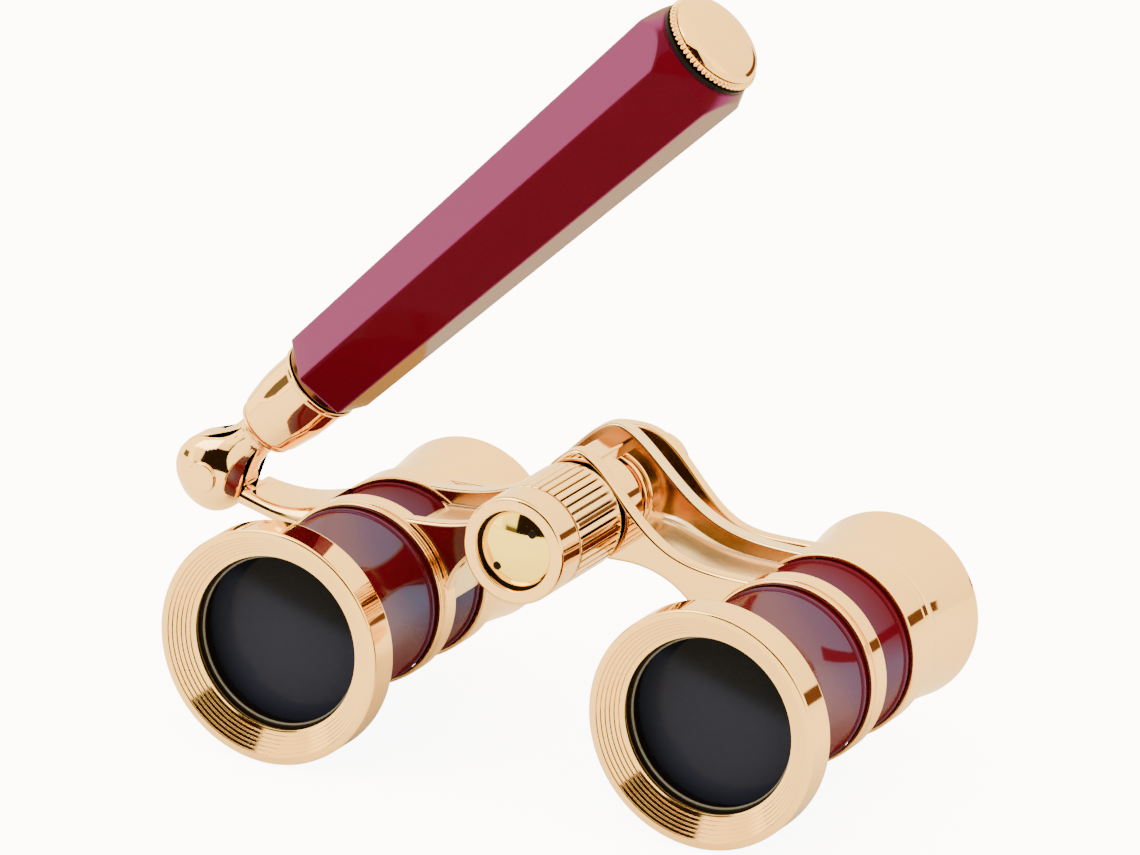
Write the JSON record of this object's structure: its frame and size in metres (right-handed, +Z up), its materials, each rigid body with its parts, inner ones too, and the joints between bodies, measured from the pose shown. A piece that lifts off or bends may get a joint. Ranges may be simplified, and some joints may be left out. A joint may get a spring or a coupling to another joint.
{
  "type": "opera glasses",
  "caption": "Small Galilean binoculars in rose gold and burgundy enamel: two flared barrels on a bell-walled bridge, screw focus, and a hinged telescoping handle.",
  "frame": {"origin": "under the middle of the overall box, on the surface that the objective bezels rest on", "axes": "+Y runs along the optical axes from the objectives back to the eyepieces, +X to the user's left, +Z up"},
  "size_m": [0.1066, 0.0544, 0.1009],
  "materials": {
    "rose_gold": "mirror-polished champagne rose gold plating",
    "pale_gold": "mirror-polished pale yellow gold plating",
    "burgundy_enamel": "glossy burgundy enamel with a faint pearl",
    "black_ring": "satin black anodised",
    "optical_glass": "polished and coated, dark blue-grey",
    "spindle_steel": "bright turned steel",
    "bush_brass": "plain turned brass"
  },
  "bodies": {
    "frame": {"bridge_frame": "rose_gold", "left_barrel_tube": "burgundy_enamel", "right_barrel_tube": "burgundy_enamel", "left_objective_bezel": "rose_gold", "right_objective_bezel": "rose_gold", "left_objective_retaining_ring": "black_ring", "right_objective_retaining_ring": "black_ring", "left_objective_lens": "optical_glass", "right_objective_lens": "optical_glass", "front_spindle_bush": "bush_brass", "rear_spindle_bush": "bush_brass", "hinge_pin": "rose_gold"},
    "focus_wheel": {"focus_knob": "rose_gold", "knob_front_band": "rose_gold", "knob_end_disc": "pale_gold", "focus_spindle": "spindle_steel", "spindle_thrust_collar": "rose_gold", "spindle_lock_ring": "rose_gold"},
    "eyepiece_carriage": {"eyepiece_bridge": "rose_gold", "left_drawtube": "rose_gold", "right_drawtube": "rose_gold", "left_eyecup": "rose_gold", "right_eyecup": "rose_gold", "left_ocular_lens": "optical_glass", "right_ocular_lens": "optical_glass", "left_ocular_retaining_ring": "black_ring", "right_ocular_retaining_ring": "black_ring", "focus_nut": "rose_gold"},
    "handle_arm": {"handle_knuckle": "rose_gold", "handle_ferrule": "rose_gold", "telescope_rod": "rose_gold", "rod_stop_ring": "bush_brass", "front_hinge_washer": "bush_brass", "rear_hinge_washer": "bush_brass"},
    "grip": {"grip_shell": "burgundy_enamel", "grip_liner": "bush_brass", "grip_mouth_ring": "black_ring", "grip_black_ring": "black_ring", "grip_beaded_ring": "rose_gold", "grip_end_cap": "rose_gold"}
  },
  "joints": [
    {"name": "focus_turn", "type": "hinge", "parent": "frame", "child": "focus_wheel", "pos_m": [0.00658, -0.0051, 0.03165], "axis": [0, 1, 0], "range_deg": [-396.5, 0]},
    {"name": "carriage_slide", "type": "slide", "parent": "frame", "child": "eyepiece_carriage", "axis": [0, 1, 0], "range_m": [0, 0.0055]},
    {"name": "handle_fold", "type": "hinge", "parent": "frame", "child": "handle_arm", "pos_m": [-0.04832, 0.0016, 0.02745], "axis": [0, 1, 0], "range_deg": [-227, 14]},
    {"name": "grip_draw", "type": "slide", "parent": "handle_arm", "child": "grip", "axis": [0.7254, 0, 0.6884], "range_m": [0, 0.055]}
  ],
  "couplings": [
    {"joint": "focus_turn", "follows": "carriage_slide", "rad_per_m": -1256.6}
  ]
}
